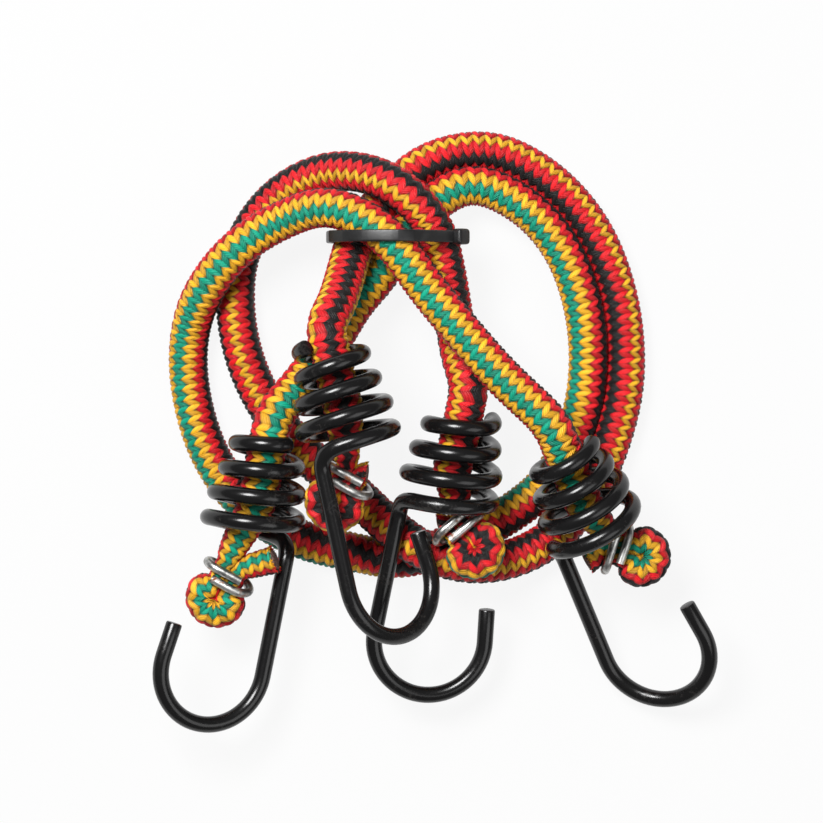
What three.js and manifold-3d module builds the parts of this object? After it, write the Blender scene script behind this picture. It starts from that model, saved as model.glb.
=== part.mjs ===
// A pair of hooked bungee cords, looped together and held by one cable tie.
// Millimetres, +Z up. The bundle lies on z = 0, as it does on a table.

import * as THREE from 'three';
import { mergeVertices } from 'three/addons/utils/BufferGeometryUtils.js';
import Module from 'manifold-3d';

const wasm = await Module();
wasm.setup();

// Elastic cord: a braided sheath over a rubber core.
const CORD_DIAMETER = 8;
const SHEATH_WALL = 1.2;
const CORE_GAP = 0.45;
const FACE_GAP = 0.3;
const CORD_SIDES = 8;
const CORE_SIDES = 6;
const LOOP_STEPS = 50;
const TAIL_STEPS = 6;
const APPROACH = [3, 1.2];

// Crimped end: the cord doubles back on itself and a steel wire ring grips both legs.
const NECK_RADIUS = 1.8;
const FOLD_TUBE_RADIUS = 3;
const LEG_GAP = 0.7;
const NECK_LENGTH = 4.6;
const FOLD_REACH = 5.2;
const TAPER_START = 0.68;
const NARROWED = { place: 0.7, radius: 0.72 };
const END_STEPS = 24;

// Crimp ring: steel wire whose two ends pass each other on top.
const RING_WIRE_DIAMETER = 1.8;
const RING_GAP = 0.3;
const RING_TURNS = 1.06;
const RING_PITCH = 2.4;
const RING_SIDES = 6;
const RING_STEPS_PER_TURN = 16;

// Hook: plastic-coated steel wire, wound as a conical spring and bent into a J.
const WIRE_DIAMETER = 3.3;
const WIRE_SIDES = 8;
const COIL_TURNS = 3.89;
const COIL_PITCH = 5.2;
const COIL_GRIP_GAP = 0.35;
const COIL_MOUTH_RADIUS = 8.85;
const COIL_FLARE_TURNS = 3.4;
const COIL_STEPS_PER_TURN = 14;
const FIRST_STRAND_TURN = 0.75;
const SHOULDER_DROP = 5;
const SHOULDER_STEPS = 5;
const SHANK_LENGTH = 23;
const BOWL_RADIUS = 11.2;
const BOWL_SWEEP = THREE.MathUtils.degToRad(188);
const BOWL_STEPS = 13;
const TIP_LENGTH = 6.7;
const CORD_LEAD = 0.6;

// Cable tie: a flat strap drawn through its own head.
const TIE_STRAP_WIDTH = 2.4;
const TIE_STRAP_THICKNESS = 1.1;
const TIE_HEAD = { length: 3.6, width: 3.2, height: 2.7, corner: 0.7 };
const TIE_GAP = 0.3;
const TIE_SIDES = 36;
const TIE_HEAD_SIDE = 5;
const TIE_REACH = 14;
const TIE_CENTRE = new THREE.Vector3(-7.9, 39, 0);
const TIE_TURN = 0;

const CORD_RADIUS = CORD_DIAMETER / 2;
const CORE_RADIUS = CORD_RADIUS - SHEATH_WALL - CORE_GAP;
const WIRE_RADIUS = WIRE_DIAMETER / 2;
const COIL_GRIP_RADIUS = CORD_RADIUS + COIL_GRIP_GAP + WIRE_RADIUS;
const COIL_LENGTH = COIL_TURNS * COIL_PITCH;

// Routes of the two loops, from one tail to the other. The lowest stretches lie on the table.
const LOOP_P = [
  [-12.2, 30.4, 9.6], [-6.9, 38.5, 9.3], [-0.4, 45, 7.6], [6.8, 48.7, 7], [17, 45.3, 6.6],
  [24.8, 37, 6.3], [29.1, 25, 5.9], [29.9, 11.5, 4.4], [27.4, 0.3, 3.2], [22, -9.5, 3.2],
  [13.8, -17.1, 3.2], [2.8, -22.5, 3.2], [-7.2, -25.5, 3.2], [-17.2, -24, 3.2],
  [-27.1, -21.6, 3.2], [-35.5, -17, 3.2], [-41.6, -10.8, 3.2], [-46.8, -1.5, 3.2],
  [-49.8, 11.5, 3.2], [-49.2, 21.5, 5], [-45.8, 29.5, 9.8], [-39.6, 36.9, 12.4],
  [-31, 42.3, 13.5], [-21.2, 44.6, 18.5], [-10.2, 39.3, 22.8], [-1.7, 28.4, 23.4],
  [2.7, 23, 23.8],
];
const LOOP_Q = [
  [-18, 31.5, 18.6], [-16.5, 38.7, 13.4], [-11.3, 47.6, 5.9], [-1.8, 54.3, 4.4], [10.8, 56.7, 3.2],
  [22.1, 51.4, 3.2], [31.5, 40.9, 3.2], [37, 26.4, 3.2], [38.2, 11.5, 3.2], [35.9, -0.2, 3.2],
  [31.6, -10.5, 3.2], [24.8, -20.1, 3.2], [15.2, -25.4, 6.4], [5.8, -26.2, 10.3],
  [-2.2, -23.7, 11.7], [-9.2, -18.9, 8.5], [-16.8, -11.9, 4.5], [-26.2, -4.5, 3.2],
  [-33.6, 4.5, 3.2], [-38.4, 14.5, 3.2], [-40.4, 25.5, 3.2], [-39.2, 36.5, 3.2],
  [-32.6, 46.2, 3.2], [-23.2, 52.4, 7], [-13.2, 52.4, 13.7], [-5.8, 48.1, 17.6],
  [-0.4, 40.9, 16], [2, 32.1, 14.5],
];

// The four ends. Each hook's axis passes through strand, its first full turn, and runs along
// heading, sloping down by dip; roll lifts the shank's side, and coilStart is how many turns in
// the wire begins. The tail reaches from the coil back along the cord by its length, through
// route on the way from the loop. ring is the middle of the crimp, fold the way to the doubled
// end, side which leg comes first, and cut the place of the cut end back along and out from the
// crimp, with the cord's radius there.
const LEFT = {
  name: 'left', tail: 30,
  route: [[-15.8, 26.5, 10.2], [-20.4, 18.9, 12], [-25, 12.4, 14.6], [-28.8, 7.6, 17.2]],
  strand: [-33.8, -4.1, 19.3], heading: [-0.196, -0.981], dip: 4, roll: -27, shankSide: 1,
  coilStart: 0.2, ring: [-41.4, -28.6, 15.8], fold: [-0.5, -0.866, -0.3], side: -1,
  cut: { back: 7.75, out: 6.2, radius: 2.4 },
};
const RIGHT = {
  name: 'right', tail: 30, route: [[12.4, 11.8, 25]],
  strand: [25.7, -5.1, 23.3], heading: [0.386, -0.922], dip: 18, roll: -28, shankSide: -1,
  coilStart: 0.45, ring: [35.9, -22.9, 16.3], fold: [0.94, -0.34, -0.15], side: 1,
  cut: { back: 4.65, out: 4.2, radius: 2.4 },
};
const UPPER = {
  name: 'upper', tail: 14, route: [[-19.9, 25.2, 24]],
  strand: [-20.4, 13.8, 27.6], heading: [0.213, -0.977], dip: -1, roll: 43, shankSide: -1,
  coilStart: 0, ring: [-17.4, -9.2, 25.6], fold: [-0.5, -0.86, -0.2], side: -1,
  cut: { back: 2.7, out: 2.4, radius: 2 },
};
const MIDDLE = {
  name: 'middle', tail: 20, route: [[3.8, 21.5, 14], [5, 14.5, 16]],
  strand: [5.2, 1.9, 17.9], heading: [-0.2, -0.98], dip: 8, roll: 9, shankSide: -1,
  coilStart: 0.45, ring: [4.4, -19, 17.2], fold: [0.62, -0.77, 0.15], side: 1,
  cut: { back: 2.7, out: 2.4, radius: 2 },
};
const CORDS = [
  { name: 'cord_p', loop: LOOP_P, from: LEFT, to: RIGHT },
  { name: 'cord_q', loop: LOOP_Q, from: UPPER, to: MIDDLE },
];

const braidLook = new THREE.MeshStandardMaterial({ color: 0xd9262c, roughness: 0.85, metalness: 0 });
const rubberLook = new THREE.MeshStandardMaterial({ color: 0x6b4438, roughness: 0.9, metalness: 0 });
const coatLook = new THREE.MeshStandardMaterial({ color: 0x141414, roughness: 0.4, metalness: 0 });
const zincLook = new THREE.MeshStandardMaterial({ color: 0x9a9a98, roughness: 0.4, metalness: 0.9 });
const nylonLook = new THREE.MeshStandardMaterial({ color: 0x101010, roughness: 0.5, metalness: 0 });

const vector = (numbers) => new THREE.Vector3(...numbers);

// Frames that follow a run without twisting: a normal and a binormal at each point.
function carriedFrames(tangents) {
  const start = Math.abs(tangents[0].z) < 0.9 ? new THREE.Vector3(0, 0, 1) : new THREE.Vector3(1, 0, 0);
  let normal = start.addScaledVector(tangents[0], -start.dot(tangents[0])).normalize();
  return tangents.map((tangent, i) => {
    if (i > 0) {
      const turn = new THREE.Quaternion().setFromUnitVectors(tangents[i - 1], tangent);
      normal = normal.clone().applyQuaternion(turn).normalize();
    }
    return { normal, binormal: tangent.clone().cross(normal).normalize() };
  });
}

// Directions along a run of points, from each point's neighbours.
function chordTangents(points) {
  const last = points.length - 1;
  return points.map((_, i) => {
    const ahead = points[Math.min(i + 1, last)];
    return ahead.clone().sub(points[Math.max(i - 1, 0)]).normalize();
  });
}

// A closed tube along points, with its own radius at each; bores, where given, hollow it.
function tube({ points, tangents = chordTangents(points) }, radii, sides, bores = null) {
  const frames = carriedFrames(tangents);
  const positions = [];
  const triangles = [];
  const ring = (i, radius) => {
    const first = positions.length / 3;
    for (let k = 0; k < sides; k += 1) {
      const angle = ((k + 0.5) / sides) * 2 * Math.PI;
      const at = points[i].clone()
        .addScaledVector(frames[i].normal, radius * Math.cos(angle))
        .addScaledVector(frames[i].binormal, radius * Math.sin(angle));
      positions.push(at.x, at.y, at.z);
    }
    return first;
  };
  const band = (from, to) => {
    for (let k = 0; k < sides; k += 1) {
      const next = (k + 1) % sides;
      triangles.push(from + k, from + next, to + next, from + k, to + next, to + k);
    }
  };
  const cap = (first, reversed) => {
    for (let k = 1; k < sides - 1; k += 1) {
      triangles.push(first, first + (reversed ? k + 1 : k), first + (reversed ? k : k + 1));
    }
  };
  const outer = points.map((_, i) => ring(i, radii[i]));
  const last = points.length - 1;
  for (let i = 0; i < last; i += 1) band(outer[i], outer[i + 1]);
  if (bores) {
    const inner = points.map((_, i) => ring(i, bores[i]));
    for (let i = 0; i < last; i += 1) band(inner[i + 1], inner[i]);
    band(inner[0], outer[0]);
    band(outer[last], inner[last]);
  } else {
    cap(outer[0], true);
    cap(outer[last], false);
  }
  const geometry = new THREE.BufferGeometry();
  geometry.setAttribute('position', new THREE.Float32BufferAttribute(positions, 3));
  geometry.setIndex(triangles);
  return geometry;
}

function toSolid(geometry) {
  const bare = geometry.clone();
  bare.deleteAttribute('normal');
  bare.deleteAttribute('uv');
  const merged = mergeVertices(bare, 1e-4);
  return new wasm.Manifold(new wasm.Mesh({
    numProp: 3,
    vertProperties: new Float32Array(merged.attributes.position.array),
    triVerts: new Uint32Array(merged.index.array),
  }));
}

function toGeometry(solid) {
  const mesh = solid.getMesh();
  const geometry = new THREE.BufferGeometry();
  geometry.setAttribute('position', new THREE.Float32BufferAttribute(mesh.vertProperties, 3));
  geometry.setIndex(Array.from(mesh.triVerts));
  return geometry;
}

const bundle = new THREE.Group();

function addPiece(parent, name, geometry, material) {
  geometry.computeVertexNormals();
  const mesh = new THREE.Mesh(geometry, material);
  mesh.name = name;
  parent.add(mesh);
}

// Sheath and core of one length of cord, whose radius may vary along it.
function addCord(name, run, radii, floorCut = false) {
  const bores = radii.map((radius) => radius * (1 - SHEATH_WALL / CORD_RADIUS));
  const cores = radii.map((radius) => radius * (CORE_RADIUS / CORD_RADIUS));
  let sheath = tube(run, radii, CORD_SIDES, bores);
  if (floorCut) {
    const size = new THREE.Vector3(400, 400, CORD_DIAMETER);
    const table = new THREE.BoxGeometry(size.x, size.y, size.z).translate(0, 0, -size.z / 2);
    sheath = toGeometry(toSolid(sheath).subtract(toSolid(table)));
  }
  addPiece(bundle, `${name}_sheath`, sheath, braidLook);
  addPiece(bundle, `${name}_core`, tube(run, cores, CORE_SIDES), rubberLook);
}

// Even steps along a stretch of a curve, from one distance along it to another.
function stretch(curve, from, to, steps) {
  const length = curve.getLength();
  const shares = Array.from({ length: steps + 1 }, (_, i) => (from + ((to - from) * i) / steps) / length);
  return {
    points: shares.map((share) => curve.getPointAt(share)),
    tangents: shares.map((share) => curve.getTangentAt(share)),
  };
}

// Least gap of a tube to itself, between places further apart along it than its own bend.
function selfGap(points, radii) {
  const along = [0];
  points.slice(1).forEach((point, i) => along.push(along[i] + point.distanceTo(points[i])));
  let least = Infinity;
  points.forEach((point, i) => {
    for (let j = 0; j < i; j += 1) {
      const touching = radii[i] + radii[j];
      if (along[i] - along[j] < (Math.PI / 2) * touching) continue;
      least = Math.min(least, point.distanceTo(points[j]) - touching);
    }
  });
  return least;
}

function printSelfGap(name, points, radii) {
  console.log(`${name}: least gap to itself ${selfGap(points, radii).toFixed(2)} mm`);
}

// Wire centreline of one hook about its own axis, +Z from the narrow end of the coil to the
// bowl, with the shank on the +X side. The wire's cut end lies coilStart turns into the coil.
function hookCentreline(coilStart) {
  const points = [];
  const coilSteps = Math.round((COIL_TURNS - coilStart) * COIL_STEPS_PER_TURN);
  const endAngle = -2 * Math.PI * (Math.ceil(COIL_TURNS) - COIL_TURNS);
  for (let i = 0; i <= coilSteps; i += 1) {
    const turn = coilStart + ((COIL_TURNS - coilStart) * i) / coilSteps;
    const flare = (1 - Math.cos(Math.PI * Math.min(turn / COIL_FLARE_TURNS, 1))) / 2;
    const radius = COIL_GRIP_RADIUS + (COIL_MOUTH_RADIUS - COIL_GRIP_RADIUS) * flare;
    const angle = endAngle - 2 * Math.PI * (COIL_TURNS - turn);
    points.push(new THREE.Vector3(radius * Math.cos(angle), radius * Math.sin(angle), COIL_PITCH * turn));
  }
  const coilEnd = points[points.length - 1];
  const leaving = coilEnd.clone().sub(points[points.length - 2]).normalize();
  const shankTop = new THREE.Vector3(COIL_MOUTH_RADIUS, 0, COIL_LENGTH + SHOULDER_DROP);
  const shoulder = new THREE.CubicBezierCurve3(
    coilEnd,
    coilEnd.clone().addScaledVector(leaving, 0.8 * SHOULDER_DROP),
    shankTop.clone().setZ(COIL_LENGTH + 0.3 * SHOULDER_DROP),
    shankTop,
  );
  points.push(...shoulder.getPoints(SHOULDER_STEPS).slice(1));
  const bowlX = COIL_MOUTH_RADIUS - BOWL_RADIUS;
  const bowlZ = shankTop.z + SHANK_LENGTH;
  for (let i = 0; i <= BOWL_STEPS; i += 1) {
    const angle = (BOWL_SWEEP * i) / BOWL_STEPS;
    points.push(new THREE.Vector3(
      bowlX + BOWL_RADIUS * Math.cos(angle),
      0,
      bowlZ + BOWL_RADIUS * Math.sin(angle),
    ));
  }
  const tipStart = points[points.length - 1];
  const tipWay = new THREE.Vector3(-Math.sin(BOWL_SWEEP), 0, Math.cos(BOWL_SWEEP));
  points.push(tipStart.clone().addScaledVector(tipWay, TIP_LENGTH));
  return points;
}

// Where a hook sits: its origin at the start of the coil, and its axis and shank directions.
function hookPlace(end) {
  const dip = THREE.MathUtils.degToRad(end.dip);
  const roll = THREE.MathUtils.degToRad(end.roll);
  const [hx, hy] = new THREE.Vector2(...end.heading).normalize().toArray();
  const axis = new THREE.Vector3(hx * Math.cos(dip), hy * Math.cos(dip), -Math.sin(dip));
  const up = new THREE.Vector3(hx * Math.sin(dip), hy * Math.sin(dip), Math.cos(dip));
  const across = new THREE.Vector3(-hy, hx, 0).multiplyScalar(end.shankSide);
  const shank = across.multiplyScalar(Math.cos(roll)).addScaledVector(up, Math.sin(roll));
  const origin = vector(end.strand).addScaledVector(axis, -FIRST_STRAND_TURN * COIL_PITCH);
  return { axis, shank, origin };
}

function addHook(end) {
  const place = hookPlace(end);
  const centreline = hookCentreline(end.coilStart);
  const group = new THREE.Group();
  group.matrixAutoUpdate = false;
  group.matrix.makeBasis(place.shank, place.axis.clone().cross(place.shank), place.axis);
  group.matrix.setPosition(place.origin);
  const radii = centreline.map(() => WIRE_RADIUS);
  printSelfGap(`${end.name}_hook`, centreline, radii);
  addPiece(group, `${end.name}_hook`, tube({ points: centreline }, radii, WIRE_SIDES), coatLook);
  bundle.add(group);
}

// Directions at the crimp: along the doubled end, and across to the leg that comes first.
function crimpWays(end) {
  const along = vector(end.fold).normalize();
  const across = new THREE.Vector3(-along.y, along.x, 0).normalize().multiplyScalar(end.side);
  return { along, across, lift: along.clone().cross(across).normalize().multiplyScalar(end.side) };
}

// The cord from the coil's narrow end, through the coil and the crimp, round the fold and back
// through the crimp to its cut end. Each row is a point and the cord's radius there.
function endProfile(end) {
  const { axis, origin } = hookPlace(end);
  const { along, across } = crimpWays(end);
  const ring = vector(end.ring);
  const fold = ring.clone().addScaledVector(along, FOLD_REACH);
  const neckSpread = NECK_RADIUS + LEG_GAP / 2;
  const foldSpread = FOLD_TUBE_RADIUS + LEG_GAP / 2;
  const onAxis = (z) => origin.clone().addScaledVector(axis, z);
  const atNeck = (side, way) => ring.clone()
    .addScaledVector(across, side * neckSpread)
    .addScaledVector(along, way * (NECK_LENGTH / 2));
  const rows = [
    [onAxis(-CORD_LEAD), CORD_RADIUS],
    [onAxis(COIL_LENGTH * TAPER_START / 2), CORD_RADIUS],
    [onAxis(COIL_LENGTH * TAPER_START), CORD_RADIUS],
    [atNeck(1, -1), NECK_RADIUS],
    [atNeck(1, 1), NECK_RADIUS],
  ];
  const narrowed = THREE.MathUtils.lerp(CORD_RADIUS, NECK_RADIUS, NARROWED.radius);
  rows.splice(3, 0, [rows[2][0].clone().lerp(rows[3][0], NARROWED.place), narrowed]);
  for (let i = 0; i <= 4; i += 1) {
    const angle = (Math.PI * i) / 4;
    const at = fold.clone()
      .addScaledVector(across, foldSpread * Math.cos(angle))
      .addScaledVector(along, foldSpread * Math.sin(angle));
    rows.push([at, FOLD_TUBE_RADIUS]);
  }
  rows.push([atNeck(-1, 1), NECK_RADIUS], [atNeck(-1, -1), NECK_RADIUS]);
  const cut = ring.clone()
    .addScaledVector(across, -end.cut.out)
    .addScaledVector(along, -end.cut.back);
  rows.push([cut, end.cut.radius]);
  return rows;
}

function addEnd(end) {
  const rows = endProfile(end);
  const curve = new THREE.CatmullRomCurve3(rows.map(([at]) => at), false, 'centripetal');
  const shares = Array.from({ length: END_STEPS + 1 }, (_, i) => i / END_STEPS);
  const run = {
    points: shares.map((share) => curve.getPoint(share)),
    tangents: shares.map((share) => curve.getTangent(share)),
  };
  const radii = shares.map((share) => {
    const place = share * (rows.length - 1);
    const row = Math.min(Math.floor(place), rows.length - 2);
    return THREE.MathUtils.lerp(rows[row][1], rows[row + 1][1], place - row);
  });
  addCord(`${end.name}_folded_end`, run, radii);
  printSelfGap(`${end.name}_folded_end`, run.points, radii);
}

// The crimp ring winds round both legs, on a track with two round ends and two flats.
function addRing(end) {
  const { along, across, lift } = crimpWays(end);
  const bend = NECK_RADIUS + RING_GAP + RING_WIRE_DIAMETER / 2;
  const spread = NECK_RADIUS + LEG_GAP / 2;
  const steps = Math.round(RING_TURNS * RING_STEPS_PER_TURN);
  const points = Array.from({ length: steps + 1 }, (_, i) => {
    const turn = i / RING_STEPS_PER_TURN - RING_TURNS / 2;
    const angle = 2 * Math.PI * turn - Math.PI / 2;
    return vector(end.ring)
      .addScaledVector(across, Math.sign(Math.cos(angle)) * spread + bend * Math.cos(angle))
      .addScaledVector(lift, bend * Math.sin(angle))
      .addScaledVector(along, RING_PITCH * turn);
  });
  const radii = points.map(() => RING_WIRE_DIAMETER / 2);
  addPiece(bundle, `${end.name}_crimp_ring`, tube({ points }, radii, RING_SIDES), zincLook);
}

// One cord's curve from coil to coil.
function cordCurve({ loop, from, to }) {
  const approach = (end) => {
    const { axis, origin } = hookPlace(end);
    const onAxis = [...APPROACH, 0].map((back) => origin.clone().addScaledVector(axis, -CORD_LEAD - back));
    return [...end.route.map(vector), ...onAxis];
  };
  const curve = new THREE.CatmullRomCurve3(
    [...approach(from).reverse(), ...loop.map(vector), ...approach(to)], false, 'centripetal',
  );
  curve.arcLengthDivisions = 2000;
  return curve;
}

// The cord cut into its loop and its two free tails.
function addLoopAndTails({ name, from, to, curve }) {
  const length = curve.getLength();
  const lengths = [
    [`${from.name}_tail`, FACE_GAP, from.tail - FACE_GAP / 2, TAIL_STEPS, false],
    [`${name}_loop`, from.tail + FACE_GAP / 2, length - to.tail - FACE_GAP / 2, LOOP_STEPS, true],
    [`${to.name}_tail`, length - to.tail + FACE_GAP / 2, length - FACE_GAP, TAIL_STEPS, false],
  ];
  for (const [piece, start, stop, steps, lies] of lengths) {
    const run = stretch(curve, start, stop, steps);
    addCord(piece, run, run.points.map(() => CORD_RADIUS), lies);
  }
  console.log(`${name}: ${length.toFixed(1)} mm of cord between its two coils`);
  const { points } = stretch(curve, 0, length, Math.round(length));
  printSelfGap(name, points, points.map(() => CORD_RADIUS));
}

// How far the bundled strands reach from the tie's middle in each of the strap's directions,
// seen along the strands: x across the bundle and y up.
function strandReach(ways) {
  const toTie = new THREE.Matrix4().makeRotationZ(TIE_TURN).setPosition(TIE_CENTRE).invert();
  const reach = ways.map(() => -Infinity);
  for (const { curve } of CORDS) {
    const length = curve.getLength();
    const { points, tangents } = stretch(curve, 0, length, Math.round(length / CORE_GAP));
    const frames = carriedFrames(tangents);
    points.forEach((point, i) => {
      for (let k = 0; k < TIE_SIDES; k += 1) {
        const angle = (2 * Math.PI * k) / TIE_SIDES;
        const skin = point.clone()
          .addScaledVector(frames[i].normal, CORD_RADIUS * Math.cos(angle))
          .addScaledVector(frames[i].binormal, CORD_RADIUS * Math.sin(angle))
          .applyMatrix4(toTie);
        if (Math.abs(skin.y) > TIE_STRAP_WIDTH / 2 + TIE_GAP || Math.abs(skin.x) > TIE_REACH) continue;
        ways.forEach((way, n) => { reach[n] = Math.max(reach[n], way.x * skin.x + way.y * skin.z); });
      }
    });
  }
  return reach;
}

// The tie's strap is drawn straight round the strands, on their convex outline.
function addTie() {
  const ways = Array.from({ length: TIE_SIDES }, (_, i) => {
    const angle = (2 * Math.PI * (i + 0.5)) / TIE_SIDES;
    return new THREE.Vector2(Math.cos(angle), Math.sin(angle));
  });
  const reach = strandReach(ways);
  const outline = (offset) => ways.map((way, i) => {
    const next = (i + 1) % TIE_SIDES;
    const [here, there] = [reach[i] + offset, reach[next] + offset];
    const turn = way.cross(ways[next]);
    return new THREE.Vector2(
      (here * ways[next].y - there * way.y) / turn,
      (there * way.x - here * ways[next].x) / turn,
    );
  });
  const outer = outline(TIE_GAP + TIE_STRAP_THICKNESS);
  const strap = new THREE.Shape(outer);
  strap.holes.push(new THREE.Path(outline(TIE_GAP)));
  const band = new THREE.ExtrudeGeometry(strap, { depth: TIE_STRAP_WIDTH, bevelEnabled: false });
  band.translate(0, 0, -TIE_STRAP_WIDTH / 2);

  const { length, width, height, corner } = TIE_HEAD;
  const face = new THREE.Shape();
  face.moveTo(-length / 2, 0);
  face.lineTo(length / 2, 0);
  face.lineTo(length / 2, height - corner);
  face.quadraticCurveTo(length / 2, height, length / 2 - corner, height);
  face.lineTo(-length / 2 + corner, height);
  face.quadraticCurveTo(-length / 2, height, -length / 2, height - corner);
  const head = new THREE.ExtrudeGeometry(face, { depth: width, bevelEnabled: false, curveSegments: 4 });
  head.translate(0, 0, -width / 2);
  const out = ways[TIE_HEAD_SIDE];
  const middle = outer[TIE_HEAD_SIDE].clone().add(outer[TIE_HEAD_SIDE - 1]).multiplyScalar(0.5)
    .addScaledVector(out, -TIE_STRAP_THICKNESS);
  head.applyMatrix4(new THREE.Matrix4().makeBasis(
    new THREE.Vector3(out.y, -out.x, 0),
    new THREE.Vector3(out.x, out.y, 0),
    new THREE.Vector3(0, 0, 1),
  ).setPosition(middle.x, middle.y, 0));
  const geometry = toGeometry(toSolid(band).add(toSolid(head))).rotateX(Math.PI / 2);
  const group = new THREE.Group();
  group.position.copy(TIE_CENTRE);
  group.rotation.z = TIE_TURN;
  addPiece(group, 'cable_tie', geometry, nylonLook);
  bundle.add(group);
}

for (const cord of CORDS) {
  cord.curve = cordCurve(cord);
  addLoopAndTails(cord);
  for (const end of [cord.from, cord.to]) {
    addEnd(end);
    addRing(end);
    addHook(end);
  }
}
addTie();

// The frame's origin is under the middle of the bundle.
bundle.updateMatrixWorld(true);
const box = new THREE.Box3().setFromObject(bundle, true);
bundle.position.set(-(box.min.x + box.max.x) / 2, -(box.min.y + box.max.y) / 2, -box.min.z);
console.log(`shift to the frame: ${bundle.position.toArray().map((step) => step.toFixed(3)).join(' ')} mm`);

export default bundle;
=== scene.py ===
"""Two looped elastic cords with spring-wire hooks, tied in a bundle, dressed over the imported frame."""

from __future__ import annotations

import logging
import math
from collections.abc import Callable
from dataclasses import dataclass, field
from enum import Enum
from functools import partial

import bpy
import numpy as np
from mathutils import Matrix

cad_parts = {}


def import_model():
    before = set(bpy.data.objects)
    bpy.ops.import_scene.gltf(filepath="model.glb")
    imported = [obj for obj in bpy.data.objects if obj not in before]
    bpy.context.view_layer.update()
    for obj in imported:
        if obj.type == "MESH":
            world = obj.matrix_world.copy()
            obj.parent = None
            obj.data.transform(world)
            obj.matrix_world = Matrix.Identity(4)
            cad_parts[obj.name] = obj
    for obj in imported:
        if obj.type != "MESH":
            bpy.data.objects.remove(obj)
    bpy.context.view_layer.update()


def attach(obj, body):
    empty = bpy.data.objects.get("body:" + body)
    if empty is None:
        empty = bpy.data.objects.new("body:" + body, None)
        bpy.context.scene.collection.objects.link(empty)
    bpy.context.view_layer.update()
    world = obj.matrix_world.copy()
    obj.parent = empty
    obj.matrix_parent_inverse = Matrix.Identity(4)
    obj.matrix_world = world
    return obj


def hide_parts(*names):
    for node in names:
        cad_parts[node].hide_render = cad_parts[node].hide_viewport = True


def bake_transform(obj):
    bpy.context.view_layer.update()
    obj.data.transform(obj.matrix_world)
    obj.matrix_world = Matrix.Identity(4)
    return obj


LOG = logging.getLogger("tied_cords")
Array = np.ndarray
Along = Callable[[np.ndarray], np.ndarray]
MM = 0.001
UP = np.array([0.0, 0.0, 1.0])
FRAME_SHIFT = np.array([-0.019, -0.402, 0.0])


class Yarn(Enum):
    """Colours of the braid's yarns, as linear values."""

    GREEN = (0.002, 0.290, 0.180)
    YELLOW = (0.830, 0.420, 0.018)
    RED = (0.680, 0.009, 0.015)
    BLACK = (0.009, 0.0075, 0.0075)


class Shade:
    """A shader socket that takes part in Python expressions."""

    def __init__(self, canvas: "Canvas", socket: bpy.types.NodeSocket) -> None:
        """Keep the socket and the canvas it belongs to."""
        self.canvas = canvas
        self.socket = socket

    def _math(self, operation: str, first: object, second: object) -> "Shade":
        """Add one Math node.

        Args:
            operation: the Math node's operation.
            first: a number or a Shade.
            second: a number or a Shade.

        Returns:
            The node's result.
        """
        return self.canvas.node("ShaderNodeMath", {"operation": operation}, {0: first, 1: second})

    def __add__(self, other: object) -> "Shade":
        """Sum."""
        return self._math("ADD", self, other)

    __radd__ = __add__

    def __mul__(self, other: object) -> "Shade":
        """Product."""
        return self._math("MULTIPLY", self, other)

    __rmul__ = __mul__

    def __sub__(self, other: object) -> "Shade":
        """Difference."""
        return self._math("SUBTRACT", self, other)

    def __rsub__(self, other: object) -> "Shade":
        """Difference from a number."""
        return self._math("SUBTRACT", other, self)

    def __mod__(self, other: object) -> "Shade":
        """Remainder that is never negative."""
        return self._math("FLOORED_MODULO", self, other)

    def floor(self) -> "Shade":
        """Whole part."""
        return self._math("FLOOR", self, 0.0)

    def sine(self) -> "Shade":
        """Sine of an angle in radians."""
        return self._math("SINE", self, 0.0)

    def ramp(self, low: float, high: float) -> "Shade":
        """Map low..high to 0..1 with clamped, eased ends.

        Args:
            low: value that gives 0.
            high: value that gives 1.

        Returns:
            The eased value.
        """
        return self.canvas.node(
            "ShaderNodeMapRange",
            {"interpolation_type": "SMOOTHSTEP"},
            {"Value": self, "From Min": low, "From Max": high, "To Min": 0.0, "To Max": 1.0},
        )


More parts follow.
